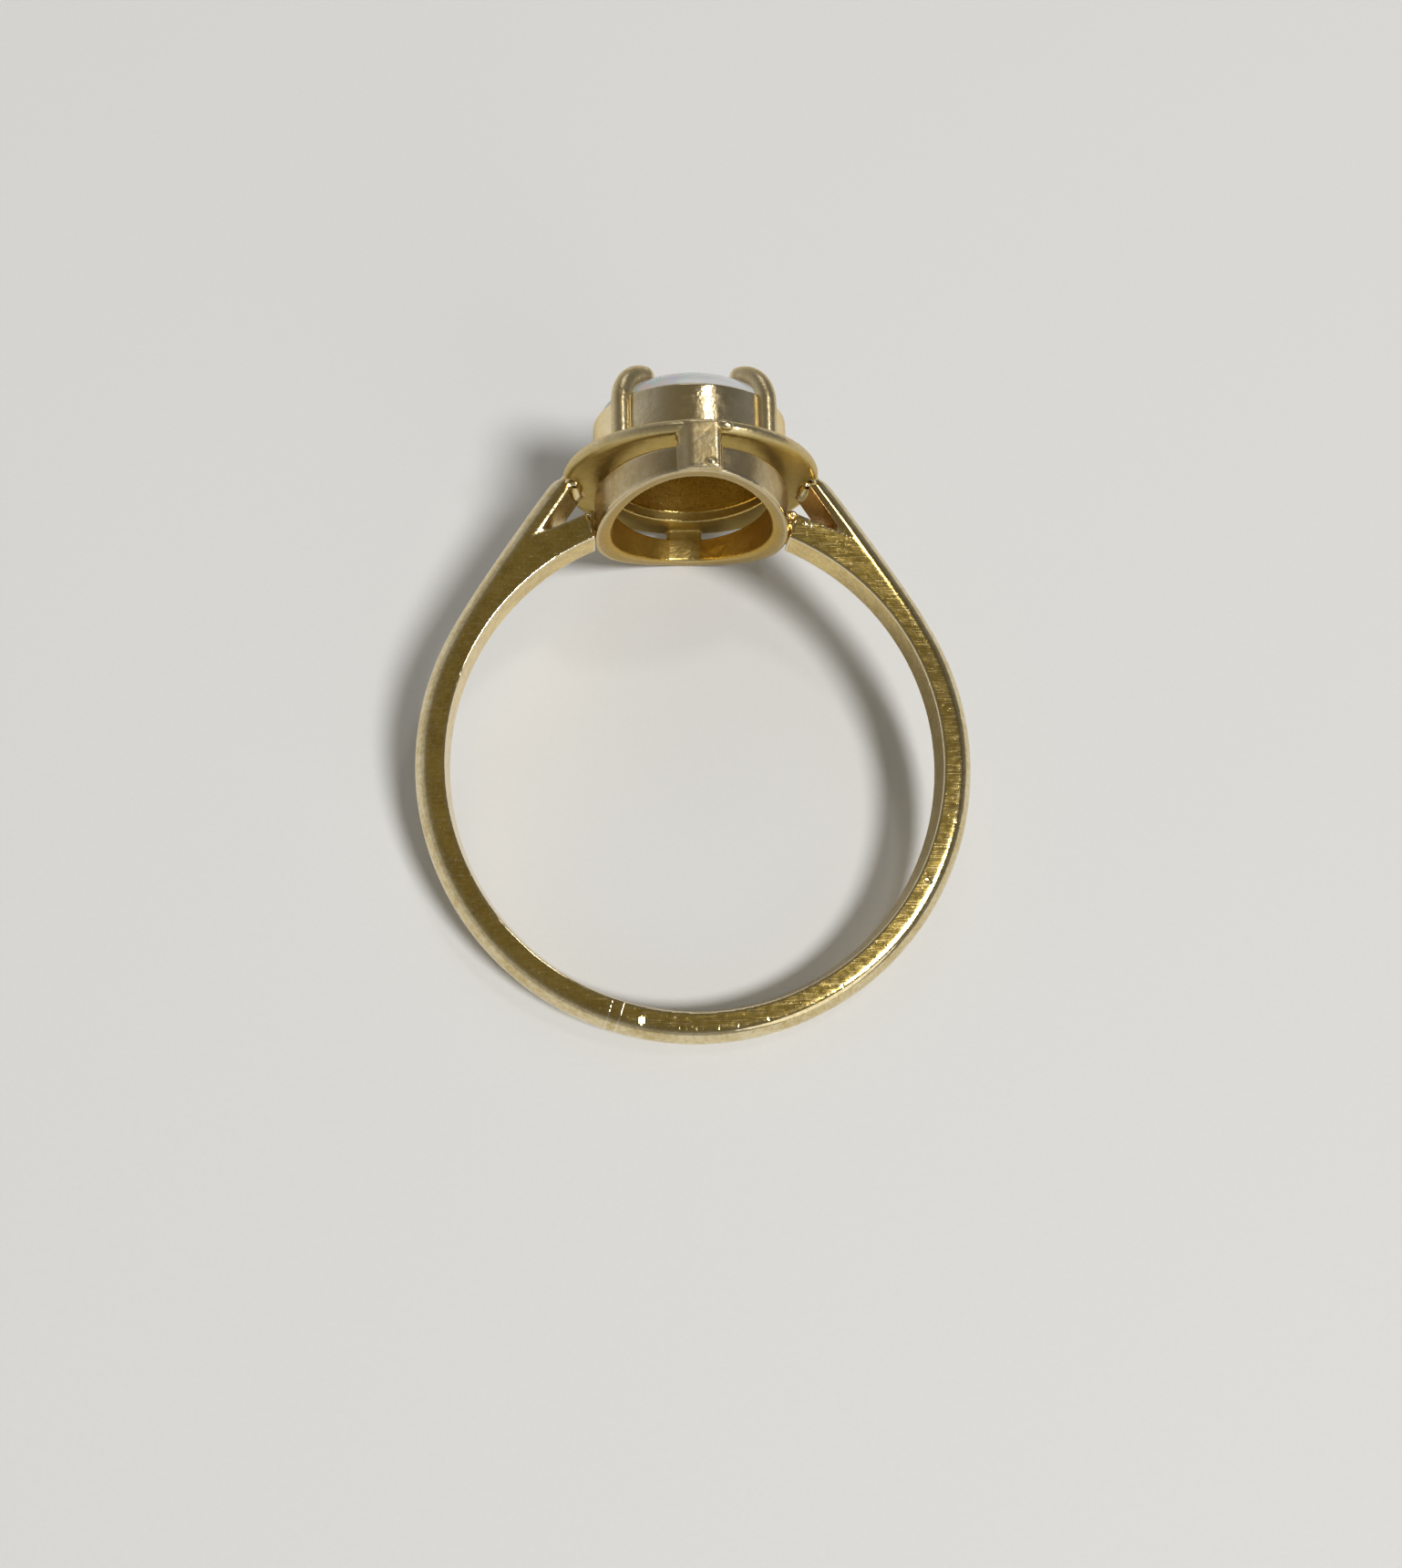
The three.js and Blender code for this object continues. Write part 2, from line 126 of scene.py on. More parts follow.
# Claws: upright wires outside the collar wall, bent over the stone along a quarter of an oval
CLAW_ANGLE = math.radians(46)
CLAW_STAND = 0.09
CLAW_FOOT_SUNK = 0.1
CLAW_RADIUS = 0.345
CLAW_TIP_RADIUS = 0.365
CLAW_BEND_BOTTOM = 11.95
CLAW_BEND_IN = 1.26
CLAW_BEND_UP = 1.34
CLAW_BEND_TURN = math.radians(83)
CLAW_BEND_STEPS = 16
CLAW_SUNK = 0.15
CLAW_FILLET = 0.14
CLAW_FILLET_REACH = 0.66
CLAW_FILLET_DROP = 0.1

# Solder drops on the right: centre, half sizes and a number that varies the skin
LOWER_FILL = ((3.56, 8.5, 0), (0.26, 0.42, 0.74), 1.3)
LOWER_BEAD = ((3.62, 8.86, 0.3), (0.2, 0.17, 0.45), 2.2)
BRANCH_DROP = ((4.02, 8.46, 0.73), (0.11, 0.1, 0.07), 0.4)
SMALL_BRANCH_DROP = ((4.26, 8.4, 0.73), (0.08, 0.1, 0.06), 1.9)
UPPER_FILL = ((4.12, 9.92, 0), (0.2, 0.2, 0.72), 2.1)
UPPER_DROP = ((4.36, 10.1, 0.76), (0.2, 0.16, 0.2), 0.9)
STRUT_FOOT_DROP = ((0.36, 8.98, 5.08), (0.2, 0.13, 0.1), 0.6)
PLATE_EDGE_DROP = ((0.84, 10.24, 5.0), (0.28, 0.17, 0.17), 1.4)
SOLDER_FILLET = 0.1
DROP_RIPPLE = 0.018
DROP_SUNK = 0.1
DROP_EDGE = 0.02

# How far the solder of a joint spreads: its middle, its squeeze along the finger and its radius
LOWER_SPREAD = ((3.66, 8.5), 0.75, 0.72)
UPPER_SPREAD = ((4.2, 9.98), 0.5, 0.48)

# Small dents worn across the side face's outer edge: angle, radius from the centre, half width
DENTS = (
    (262.6, 9.29, 0.034),
    (265.2, 9.26, 0.045),
    (266.6, 9.29, 0.036),
    (268.7, 9.27, 0.042),
    (270.1, 9.3, 0.034),
    (273.4, 9.27, 0.04),
    (277.5, 9.28, 0.038),
    (284.0, 9.29, 0.042),
    (301.0, 9.29, 0.036),
    (331.0, 9.05, 0.036),
    (345.0, 9.3, 0.04),
    (214.0, 9.29, 0.042),
    (238.0, 9.29, 0.036),
)
DENT_STRETCH = 0.45
DENT_ROUNDNESS = 2.2
DENT_LIFT = 0.9
DENT_EDGE = 0.02

# A bright facet knocked into the side face beside the sizing insert
NICK_ANGLE = math.radians(256.9)
NICK_RADIUS = 9.12
NICK_SIZE = 0.16
NICK_DEPTH = 0.025
NICK_TILT = (0.15, -0.067)

# Where shade is painted on the gold and the stone: the gallery's inside, undersides, the stone's back
# and the right fork's wall
GALLERY_BOTTOM = 7.0
SHADE_DEPTH = 0.2
UNDERSIDE = (9.8, 10.3)
STONE_BACK = (11.8, 12.1)
FORK_CORNER = (3.7, 8.3)

# Where the gold is flat and a darker reflection is painted: how squarely it faces the finger axis,
# and its share inside the hoop
FLAT_START = 0.9
FLAT_SPAN = 0.08
FINGER_SHARE = 0.85
FINGER_LIMIT = 9

# Surface meshes: grid steps, how vertices settle, and how far round a point sharpness is felt
COARSE = 0.05
MEDIUM = 0.035
FINE = 0.03
STONE_STEP = 0.06
SHARPNESS_REACH = 0.06
LONGEST_MOVE = 0.05
LEAST_STEEPNESS = 0.05

# Noise in the golds, as a scale per millimetre, and the heights of its bumps in millimetres
BROAD = 1.1
MOTTLE = 4.5
FLECK = 6.5
GRAIN = 9.0
SKIN_GRAIN = 22.0
BROAD_BUMP = 0.05
MOTTLE_BUMP = 0.015
SKIN_BUMP = 0.002
MARK_BUMP = 0.0006

# Scratches: each set's direction in radians, length and width in millimetres, and amount
SCRATCHES = ((0.5, 1.1, 0.02, 0.36), (2.0, 0.8, 0.022, 0.36), (1.2, 0.9, 0.018, 0.35))
SCRATCH_FADE = 0.06

# The values of a pattern, or of an edge's sharpness, between which its effect comes in
POLISHED = (0.02, 0.5)
HOLLOW = (-0.02, -0.4)
CLOUDED = (0.75, 1.15)
PITTED = (0.62, 0.7)
SPECKLED = (0.48, 0.36)
FLECKED = (0.64, 0.7)

# How strongly a pattern shows in a gold's colour, roughness and bumps
MOTTLE_SHARE = 0.9
SPECKLE_STRENGTH = 1.6
# How dark the hollows get, and how strongly the painted shade shows
TARNISH = 0.85
PIT_TARNISH = 0.5
MOTTLE_ROUGHNESS = 0.22
MARK_ROUGHNESS = 0.3
FLECK_ROUGHNESS = 0.6
SHADE_ROUGHNESS = 0.08
POLISH_SMOOTHNESS = 0.15
LEAST_ROUGHNESS = 0.06
SHADE_WAVES = 0.4

# Opal: its milk, the painted shade at its back, and the amount, range and colour of each patch of
# colour
MILK = ((0.66, 0.65, 0.63, 1), (0.5, 0.52, 0.54, 1))
STAIN = ((0.27, 0.185, 0.05, 1), (0.5, 0.37, 0.13, 1))
PLAY = (
    (0.45, (0.45, 0.9), (0.8, 0.46, 0.46, 1)),
    (0.4, (0.5, 0.95), (0.38, 0.66, 0.56, 1)),
    (0.35, (0.5, 0.95), (0.42, 0.52, 0.8, 1)),
)

# Paper under the ring, and the room's light: height and colour from below to overhead
PAPER = ((0.715, 0.717, 0.71, 1), (0.755, 0.757, 0.75, 1))
ROOM = (
    (0.0, (0.42, 0.416, 0.41, 1)),
    (0.3, (0.33, 0.326, 0.32, 1)),
    (0.55, (0.22, 0.215, 0.205, 1)),
    (0.8, (0.16, 0.152, 0.135, 1)),
    (0.97, (0.165, 0.148, 0.11, 1)),
)
ROOM_STRENGTH = 0.87
ROOM_RIGHTWARD = -0.4

# Camera: where it looks from, towards what, in degrees and millimetres
CAMERA_AZIMUTH = -10.539
CAMERA_ELEVATION = 68.024
CAMERA_ROLL = -9.038
CAMERA_AIM = (-0.038, -3.8646, 5.144)
CAMERA_DISTANCE = 41.998
CAMERA_LENS = 29.18

FLOOR_HALF = 0.6
LAMP_DISTANCE = 1.5
CEILING_DISTANCE = 0.4


def ring_axes(record):
    """Places the ring's own axes in the frame, from the two mounts on the band's side faces."""
    mounts = {mount["name"]: mount for mount in record["mounts"]}
    near = Vector(mounts["side_face"]["pos_m"])
    far = Vector(mounts["under_side_face"]["pos_m"])
    finger = Vector(mounts["side_face"]["axis"]).normalized()
    across = Vector((1, 0, 0))
    head = finger.cross(across)
    spoke = across * math.cos(MOUNT_ANGLE) + head * math.sin(MOUNT_ANGLE)
    origin = (near + far) / 2 - spoke * (FINGER_RADIUS + MOUNT_INSET) * MM
    turn = Matrix((across, head, finger)).transposed()
    return np.array(turn), np.array(origin)


def smooth_min(a, b, blend):
    overlap = np.clip(blend - np.abs(a - b), 0, None)
    return np.minimum(a, b) - overlap * overlap / (4 * blend)


def smooth_max(a, b, blend):
    return -smooth_min(-a, -b, blend)


def oval(x, z, half_axes, offset=0.0):
    """Distance to an upright oval wall, near its surface."""
    a = half_axes[0] + offset
    b = half_axes[1] + offset
    reach = np.hypot(x / a, z / b)
    slope = np.hypot(x / (a * a), z / (b * b)) + 1e-9
    return reach * (reach - 1) / slope


def slab(value, low, high):
    return np.abs(value - (low + high) / 2) - (high - low) / 2


def side_of(x, y, line):
    """Distance of a point to the left of a line given by two points."""
    (ax, ay), (bx, by) = line
    length = math.hypot(bx - ax, by - ay)
    return ((bx - ax) * (y - ay) - (by - ay) * (x - ax)) / length


def hoop(x, y, z):
    """The closed hoop: flat side faces, a domed outside and rising shoulders."""
    radius = np.hypot(x, y)
    turn = (np.arctan2(y, np.abs(x)) - SHOULDER_START) / SHOULDER_SPAN
    rise = np.clip(turn, 0, SHOULDER_LIMIT)
    edge = FINGER_RADIUS + SIDE_FACE + SHOULDER_RISE * rise ** SHOULDER_POWER
    climb = SHOULDER_RISE * SHOULDER_POWER * rise ** (SHOULDER_POWER - 1)
    outside = (radius - edge) / np.hypot(1, climb / SHOULDER_SPAN / edge)
    crown = (BAND_HALF_WIDTH ** 2 + BAND_DOME ** 2) / (2 * BAND_DOME)
    dome = np.hypot(np.clip(outside + crown - BAND_DOME, 0, None), z) - crown
    side = np.abs(z) - BAND_HALF_WIDTH
    return smooth_max(smooth_max(dome, side, SIDE_EDGE), FINGER_RADIUS - radius, FINGER_EDGE)


def fork(body, x, y, z):
    """Cuts the slot between the branches, its chamfer and the lower branch's end."""
    width = np.abs(x)
    upper = side_of(width, y, SLOT_UPPER_LINE)
    lower = side_of(width, y, SLOT_LOWER_LINE)
    depth = z - BAND_HALF_WIDTH
    slot = smooth_min(upper + SLOT_TAPER * depth, -lower, SLOT_ROOT)
    body = smooth_max(body, slot, SLOT_EDGE)
    chamfer = (depth + CHAMFER_SLOPE * upper + CHAMFER_DEPTH) / math.hypot(1, CHAMFER_SLOPE)
    body = smooth_max(body, np.minimum(chamfer, -lower), CHAMFER_EDGE)
    gap = np.minimum(side_of(width, y, BRANCH_END_LINE), BRANCH_END_TOP - y)
    return smooth_max(body, gap, SLOT_EDGE)


def band(x, y, z):
    """The hoop with forked shoulders and room for the gallery."""
    body = smooth_max(fork(hoop(x, y, z), x, y, z), y - BRANCH_TOP, BRANCH_TOP_EDGE)
    head = np.maximum(oval(x, z, RAIL, -RAIL_OVERLAP), RAIL_CREST / 2 - y)
    return np.maximum(body, -head)


def nick(x, y, z):
    """The inside of the facet on the near side face."""
    px = NICK_RADIUS * math.cos(NICK_ANGLE)
    py = NICK_RADIUS * math.sin(NICK_ANGLE)
    tilt = (x - px) * NICK_TILT[0] + (y - py) * NICK_TILT[1]
    depth = tilt + z - BAND_HALF_WIDTH + NICK_DEPTH
    return np.maximum(-depth, np.hypot(x - px, y - py) - NICK_SIZE)


def dents(x, y, z):
    """Shallow hollows on the near side face, longer along the spoke than across it."""
    reach = np.full(np.broadcast(x, y, z).shape, FAR)
    for angle, radius, size in DENTS:
        ball = DENT_ROUNDNESS * size
        lift = BAND_HALF_WIDTH + math.sqrt(ball * ball - size * size) * DENT_LIFT
        cosine = math.cos(math.radians(angle))
        sine = math.sin(math.radians(angle))
        along = (x * cosine + y * sine - radius) * DENT_STRETCH
        aside = y * cosine - x * sine
        reach = np.minimum(reach, np.sqrt(along ** 2 + aside ** 2 + (z - lift) ** 2) - ball)
    return reach


def plate(x, y, z, offset=0.0):
    wall = oval(x, z, PLATE, offset)
    body = smooth_max(wall, slab(y, PLATE_BOTTOM, PLATE_TOP) - offset, PLATE_EDGE)
    return smooth_max(body, -oval(x, z, COLLAR, -COLLAR_WALL - offset), PLATE_HOLE_EDGE)


def rail(x, y, z, offset=0.0):
    bore = oval(x, z, RAIL, -RAIL_WALL - offset)
    wall = smooth_max(oval(x, z, RAIL, offset), -bore, RAIL_EDGE)
    body = smooth_max(wall, y - RAIL_TOP - offset, RAIL_TOP_EDGE)
    return smooth_max(body, RAIL_CREST - offset - np.hypot(x, y), RAIL_FOOT_EDGE)


def collar(x, y, z, offset=0.0):
    ends = slab(y, PLATE_TOP - COLLAR_SUNK, COLLAR_TOP) - offset
    body = smooth_max(oval(x, z, COLLAR, offset), ends, COLLAR_EDGE)
    body = smooth_max(body, -oval(x, z, COLLAR, -COLLAR_WALL - offset), COLLAR_BORE_EDGE)
    seat = np.maximum(oval(x, z, COLLAR, -COLLAR_LIP), COLLAR_SEAT - y)
    return smooth_max(body, -seat, COLLAR_LIP_EDGE)


def collar_on_plate(x, y, z):
    body = smooth_min(collar(x, y, z), plate(x, y, z, -HIDDEN), COLLAR_FILLET)
    return np.maximum(body, oval(x, z, COLLAR, COLLAR_FILLET_REACH))


def shank(x, y, z):
    """The hoop with its branches flowing into the plate."""
    body = smooth_max(band(x, y, z), -dents(x, y, z), DENT_EDGE)
    body = np.maximum(body, -nick(x, y, z))
    joint = np.maximum(PLATE_JOINT[0] - np.abs(x), np.abs(z) - PLATE_JOINT[1])
    near_plate = np.maximum(plate(x, y, z, -HIDDEN), joint)
    return smooth_min(body, near_plate, BRANCH_FILLET)


def along_insert(x, y):
    return math.cos(INSERT_ANGLE) * y - math.sin(INSERT_ANGLE) * x


def shank_right(x, y, z):
    return np.maximum(shank(x, y, z), INSERT_LENGTH / 2 - TUCK - along_insert(x, y))


def shank_left(x, y, z):
    return np.maximum(shank(x, y, z), INSERT_LENGTH / 2 - TUCK + along_insert(x, y))


def sizing_insert(x, y, z):
    ends = np.abs(along_insert(x, y)) - INSERT_LENGTH / 2
    return smooth_max(band(x, y, z) - INSERT_PROUD, ends, INSERT_EDGE)


def strut(x, y, z):
    """The strut on the +Z side, with fillets into the rail and plate."""
    outer = RAIL[1] + STRUT_PROUD
    sides = np.abs(x) - STRUT_WIDTH / 2
    wall = smooth_max(sides, slab(z, outer - STRUT_DEPTH, outer), STRUT_EDGE)
    flank = z - outer + FLANK_DEPTH - (x + STRUT_WIDTH / 2) * FLANK_SLOPE
    wall = smooth_max(wall, flank / math.hypot(1, FLANK_SLOPE), FLANK_EDGE)
    body = smooth_max(wall, slab(y, STRUT_BOTTOM, STRUT_TOP), STRUT_END_EDGE)
    walls = np.minimum(plate(x, y, z, -HIDDEN), rail(x, y, z, -HIDDEN))
    reach = np.maximum(np.abs(x) - STRUT_REACH[0], STRUT_REACH[1] - z)
    return np.maximum(smooth_min(body, walls, STRUT_FILLET), reach)


def strut_with_drops(x, y, z):
    """The strut with two drops of solder beside it, on the rail's crest and the plate's edge."""
    body = strut(x, y, z)
    drops = np.minimum(blob(x, y, z, *STRUT_FOOT_DROP), blob(x, y, z, *PLATE_EDGE_DROP))
    return np.minimum(body, smooth_max(drops, -body - DROP_SUNK, DROP_EDGE))


def claw_path():
    """Points along the claw: distance outside the wall, height and wire radius."""
    foot = np.array([[CLAW_STAND, PLATE_TOP - CLAW_FOOT_SUNK, CLAW_RADIUS]])
    turn = np.linspace(0, CLAW_BEND_TURN, CLAW_BEND_STEPS)
    out = CLAW_STAND - CLAW_BEND_IN * (1 - np.cos(turn))
    height = CLAW_BEND_BOTTOM + CLAW_BEND_UP * np.sin(turn)
    radius = np.interp(turn, [0, CLAW_BEND_TURN / 2], [CLAW_RADIUS, CLAW_TIP_RADIUS])
    return np.concatenate([foot, np.stack([out, height, radius], axis=1)])


def claw_axes(x, z):
    """Distance outwards from the collar's wall at the claw, and sideways along it."""
    base_x = COLLAR[0] * math.cos(CLAW_ANGLE)
    base_z = COLLAR[1] * math.sin(CLAW_ANGLE)
    heading = math.atan2(math.sin(CLAW_ANGLE) / COLLAR[1], math.cos(CLAW_ANGLE) / COLLAR[0])
    out = (x - base_x) * math.cos(heading) + (z - base_z) * math.sin(heading)
    aside = (z - base_z) * math.cos(heading) - (x - base_x) * math.sin(heading)
    return out, aside


def claw_wire(out, y, aside):
    wire = np.full(np.broadcast(out, y, aside).shape, FAR)
    path = claw_path()
    for (u0, y0, r0), (u1, y1, r1) in zip(path[:-1], path[1:]):
        du, dy = u1 - u0, y1 - y0
        s = np.clip(((out - u0) * du + (y - y0) * dy) / (du * du + dy * dy), 0, 1)
        away = np.sqrt((out - u0 - du * s) ** 2 + (y - y0 - dy * s) ** 2 + aside * aside)
        wire = np.minimum(wire, away - (r0 + (r1 - r0) * s))
    return np.maximum(wire, PLATE_TOP - CLAW_SUNK - y)


def claw(x, y, z):
    """The claw at +X and +Z, with fillets into the collar and plate."""
    out, aside = claw_axes(x, z)
    wire = claw_wire(out, y, aside)
    walls = np.minimum(collar(x, y, z, -HIDDEN), plate(x, y, z, -HIDDEN))
    beside = np.hypot(out - CLAW_STAND, aside) - CLAW_FILLET_REACH
    reach = np.maximum(beside, y - COLLAR_TOP + CLAW_FILLET_DROP)
    joint = np.maximum(smooth_min(wire, walls, CLAW_FILLET), reach)
    return np.minimum(wire, joint)


def opal(x, y, z):
    a = COLLAR[0] - COLLAR_LIP - STONE_CLEARANCE
    b = COLLAR[1] - COLLAR_LIP - STONE_CLEARANCE
    reach = np.hypot(x / a, z / b)
    height = (y - STONE_GIRDLE) / STONE_HEIGHT
    bulge = np.clip(height, 0, None) ** 2 + reach ** STONE_FULLNESS
    dome = (bulge ** 0.5 - 1) * STONE_HEIGHT
    body = np.where(y > STONE_GIRDLE, dome, oval(x, z, (a, b)))
    return smooth_max(body, COLLAR_SEAT + STONE_CLEARANCE - y, STONE_EDGE)


def blob(x, y, z, centre, size, seed):
    """A melted drop with a slightly uneven skin."""
    cx, cy, cz = centre
    sx, sy, sz = size
    reach = np.sqrt(((x - cx) / sx) ** 2 + ((y - cy) / sy) ** 2 + ((z - cz) / sz) ** 2)
    ripple = np.sin(9 * x + seed) * np.sin(8 * y + 2 * seed) * np.sin(7 * z + 3 * seed)
    return (reach - 1) * min(size) + DROP_RIPPLE * ripple


def soldered_joint(x, y, z, fill, bead, wall, spread):
    """Solder that fills the joint between a branch and a wall of the gallery, right side."""
    (cx, cy), squeeze, radius = spread
    near = np.sqrt((x - cx) ** 2 + (y - cy) ** 2 + (z * squeeze) ** 2) - radius
    walls = np.minimum(wall(x, y, z, -HIDDEN), band(x, y, z) + HIDDEN)
    drops = smooth_min(blob(x, y, z, *fill), blob(x, y, z, *bead), SOLDER_FILLET)
    return np.maximum(smooth_min(drops, walls, SOLDER_FILLET), near)


def solder_lower(x, y, z):
    return soldered_joint(x, y, z, LOWER_FILL, LOWER_BEAD, rail, LOWER_SPREAD)


def solder_lower_with_drops(x, y, z):
    """The same joint with two small drops left on the branch's near face."""
    drops = (blob(x, y, z, *BRANCH_DROP), blob(x, y, z, *SMALL_BRANCH_DROP))
    return np.minimum(solder_lower(x, y, z), smooth_min(*drops, SOLDER_FILLET))


def solder_upper(x, y, z):
    return soldered_joint(x, y, z, UPPER_FILL, UPPER_DROP, plate, UPPER_SPREAD)


def slope_at(distance, points, step=1e-3):
    x, y, z = points.T
    return np.stack(
        [
            distance(x + step, y, z) - distance(x - step, y, z),
            distance(x, y + step, z) - distance(x, y - step, z),
            distance(x, y, z + step) - distance(x, y, z - step),
        ],
        axis=1,
    ) / (2 * step)


def grid_mesh(distance, low, high, step):
    """Quads round the zero level of a distance function, one vertex for each mixed grid cell."""
    axes = [np.arange(a, b + step, step) for a, b in zip(low, high)]
    x = axes[0][:, None, None]
    y = axes[1][None, :, None]
    z = axes[2][None, None, :]
    inside = np.broadcast_to(distance(x, y, z) < 0, [len(a) for a in axes])
    corners = np.zeros([len(a) - 1 for a in axes], np.int8)
    for i in (0, 1):
        for j in (0, 1):
            for k in (0, 1):
                nx, ny, nz = corners.shape
                corners += inside[i : i + nx, j : j + ny, k : k + nz]
    mixed = (corners > 0) & (corners < 8)
    number = np.full(mixed.shape, -1, np.int64)
    number[mixed] = np.arange(mixed.sum())
    points = np.array(low) + (np.argwhere(mixed) + 0.5) * step
    faces = []
    for axis in range(3):
        one, two = (axis + 1) % 3, (axis + 2) % 3
        here = np.moveaxis(inside, (axis, one, two), (0, 1, 2))
        ids = np.moveaxis(number, (axis, one, two), (0, 1, 2))
        leaving = here[:-1, 1:-1, 1:-1] & ~here[1:, 1:-1, 1:-1]
        entering = ~here[:-1, 1:-1, 1:-1] & here[1:, 1:-1, 1:-1]
        corner = [ids[:, :-1, :-1], ids[:, 1:, :-1], ids[:, 1:, 1:], ids[:, :-1, 1:]]
        faces.append(np.stack([c[leaving] for c in corner], axis=1))
        faces.append(np.stack([c[entering] for c in corner[::-1]], axis=1))
    return points, np.concatenate(faces)


def relax(points, faces):
    """Moves each vertex towards the middle of its faces, for evener quads."""
    middles = points[faces].mean(axis=1)
    total = np.zeros_like(points)
    count = np.zeros(len(points))
    for k in range(4):
        np.add.at(total, faces[:, k], middles)
        np.add.at(count, faces[:, k], 1)
    return total / np.maximum(count, 1)[:, None]


def onto_level(distance, points, rounds):
    for _ in range(rounds):
        slope = slope_at(distance, points)
        steepness = np.maximum((slope * slope).sum(axis=1), LEAST_STEEPNESS)
        move = distance(*points.T) / steepness
        points = points - slope * np.clip(move, -LONGEST_MOVE, LONGEST_MOVE)[:, None]
    return points


def skin(distance, low, high, step):
    """Points, quads, outward directions and edge sharpness of a shape, in the ring's axes."""
    points, faces = grid_mesh(distance, low, high, step)
    points = onto_level(distance, points, 4)
    points = onto_level(distance, relax(points, faces), 3)
    outward = slope_at(distance, points)
    outward /= np.maximum(np.linalg.norm(outward, axis=1), 1e-6)[:, None]
    sharp = -6 * distance(*points.T)
    for axis in range(3):
        for side in (-SHARPNESS_REACH, SHARPNESS_REACH):
            moved = points.copy()
            moved[:, axis] += side
            sharp = sharp + distance(*moved.T)
    return points, faces, outward, sharp / SHARPNESS_REACH


def inner_share(points, outward):
    """How far each point lies where shade is painted: the gallery's inside, an underside, the stone's
    back or the right fork's wall.
    """
    x, y, z = points.T
    facing_in = np.clip(-2 * (x * outward[:, 0] + z * outward[:, 2]) / np.hypot(x, z), 0, 1)
    depth = np.clip(-oval(x, z, RAIL, -SHADE_DEPTH) / SHADE_DEPTH, 0, 1)
    within = depth * facing_in * (y > GALLERY_BOTTOM) * (y < COLLAR_SEAT)
    facing_down = np.clip(-outward[:, 1], 0, 1)
    underside = facing_down * (y > UNDERSIDE[0]) * (y < UNDERSIDE[1])
    stone_back = facing_down * (y > STONE_BACK[0]) * (y < STONE_BACK[1])
    facing_left = np.clip(-2 * outward[:, 0], 0, 1)
    in_fork = facing_left * (x > FORK_CORNER[0]) * (y > FORK_CORNER[1])
    return np.maximum.reduce([within, underside, in_fork, stone_back])


def flat_share(points, outward):
    """How squarely each point faces along the finger axis, or towards it inside the ring, where a
    darker reflection is painted.
    """
    x, y, z = points.T
    radius = np.hypot(x, y)
    square = np.clip((np.abs(outward[:, 2]) - FLAT_START) / FLAT_SPAN, 0, 1)
    facing_finger = np.clip(-(x * outward[:, 0] + y * outward[:, 1]) / radius, 0, 1)
    return np.maximum(square, FINGER_SHARE * facing_finger * (radius < FINGER_LIMIT))


def quad_mesh(name, placed, faces, outward):
    mesh = bpy.data.meshes.new(name)
    mesh.vertices.add(len(placed))
    mesh.vertices.foreach_set("co", placed.astype(np.float32).ravel())
    mesh.loops.add(faces.size)
    mesh.loops.foreach_set("vertex_index", faces.ravel().astype(np.int32))
    mesh.polygons.add(len(faces))
    mesh.polygons.foreach_set("loop_start", np.arange(0, faces.size, 4, dtype=np.int32))
    mesh.update(calc_edges=True)
    mesh.shade_smooth()
    mesh.normals_split_custom_set_from_vertices(outward.tolist())
    return mesh


def piece(name, shape, material, node, mirror=(1, 1)):
    """Makes a mesh from a skin, mirrored across X or Z if asked, and gives it a node to stand for."""
    points, faces, outward, sharp = shape
    flip = np.array([mirror[0], 1, mirror[1]])
    points = points * flip
    outward = outward * flip
    if mirror[0] * mirror[1] < 0:
        faces = faces[:, ::-1]
    placed = (points * MM) @ RING_TURN.T + RING_ORIGIN
    mesh = quad_mesh(name, placed, faces, outward @ RING_TURN.T)
    shares = {
        "edge": sharp,
        "inner": inner_share(points, outward),
        "flat": flat_share(points, outward),
    }
    for label, values in shares.items():
        attribute = mesh.attributes.new(label, "FLOAT", "POINT")
        attribute.data.foreach_set("value", values.astype(np.float32))
    mesh.materials.append(material)
    thing = bpy.data.objects.new(name, mesh)
    bpy.context.scene.collection.objects.link(thing)
    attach(thing, "root")
    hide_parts(node)


